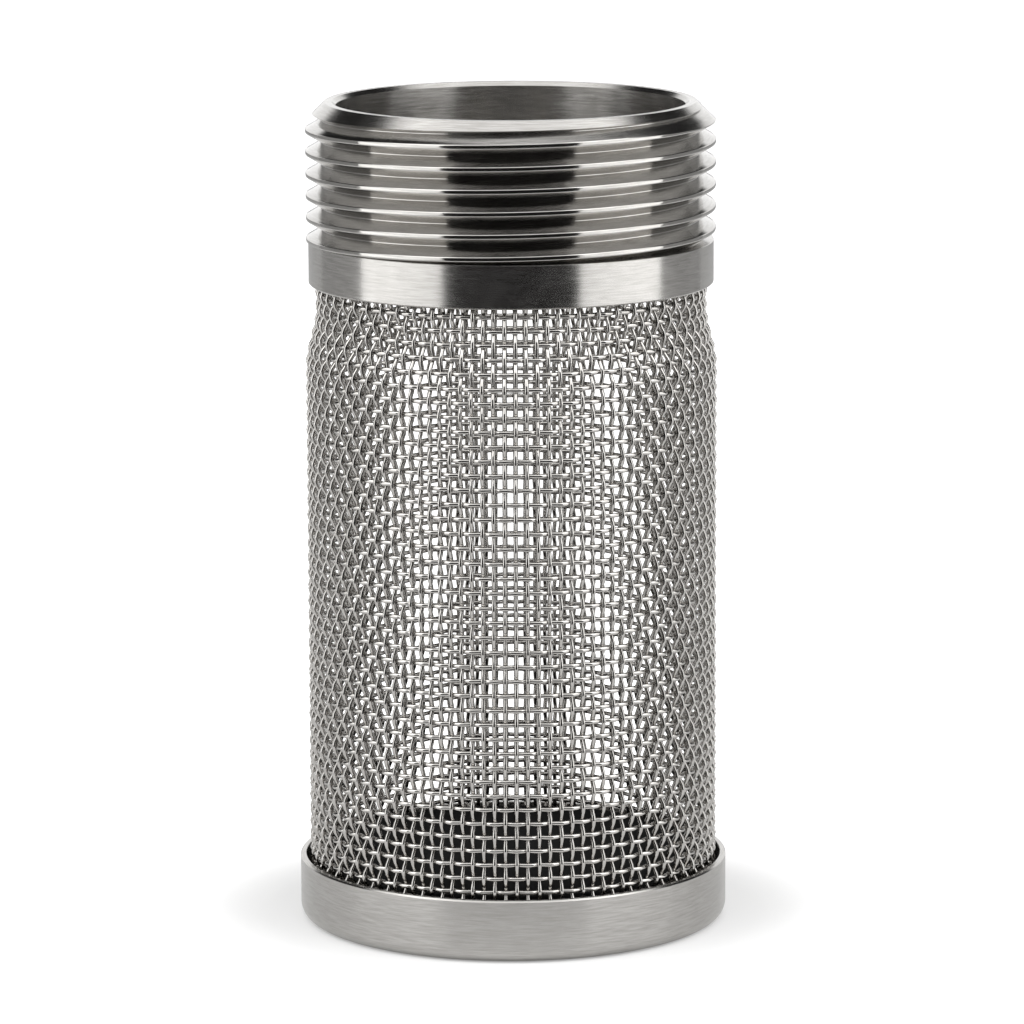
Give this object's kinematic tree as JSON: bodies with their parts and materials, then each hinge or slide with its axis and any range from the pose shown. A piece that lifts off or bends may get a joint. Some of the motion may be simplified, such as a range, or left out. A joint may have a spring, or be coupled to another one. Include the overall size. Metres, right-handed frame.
{
  "type": "non-return valve strainer",
  "caption": "Cylindrical stainless strainer: threaded collar, woven wire cloth sleeve and closed end cap, screwed into a non-return valve to keep debris out.",
  "frame": {"origin": "centre of the end cap's underside, on the strainer's axis", "axes": "+Z along the strainer's axis, from the end cap up to the threaded collar"},
  "size_m": [0.0438, 0.0438, 0.084],
  "materials": {
    "collar": "turned stainless steel, fine circumferential tool marks",
    "wire_cloth": "bright drawn stainless steel wire",
    "cap": "turned and satin brushed stainless steel"
  },
  "bodies": {
    "root": {"threaded_collar": "collar", "upright_wires": "wire_cloth", "hoop_wires": "wire_cloth", "base_cap": "cap"}
  },
  "joints": []
}
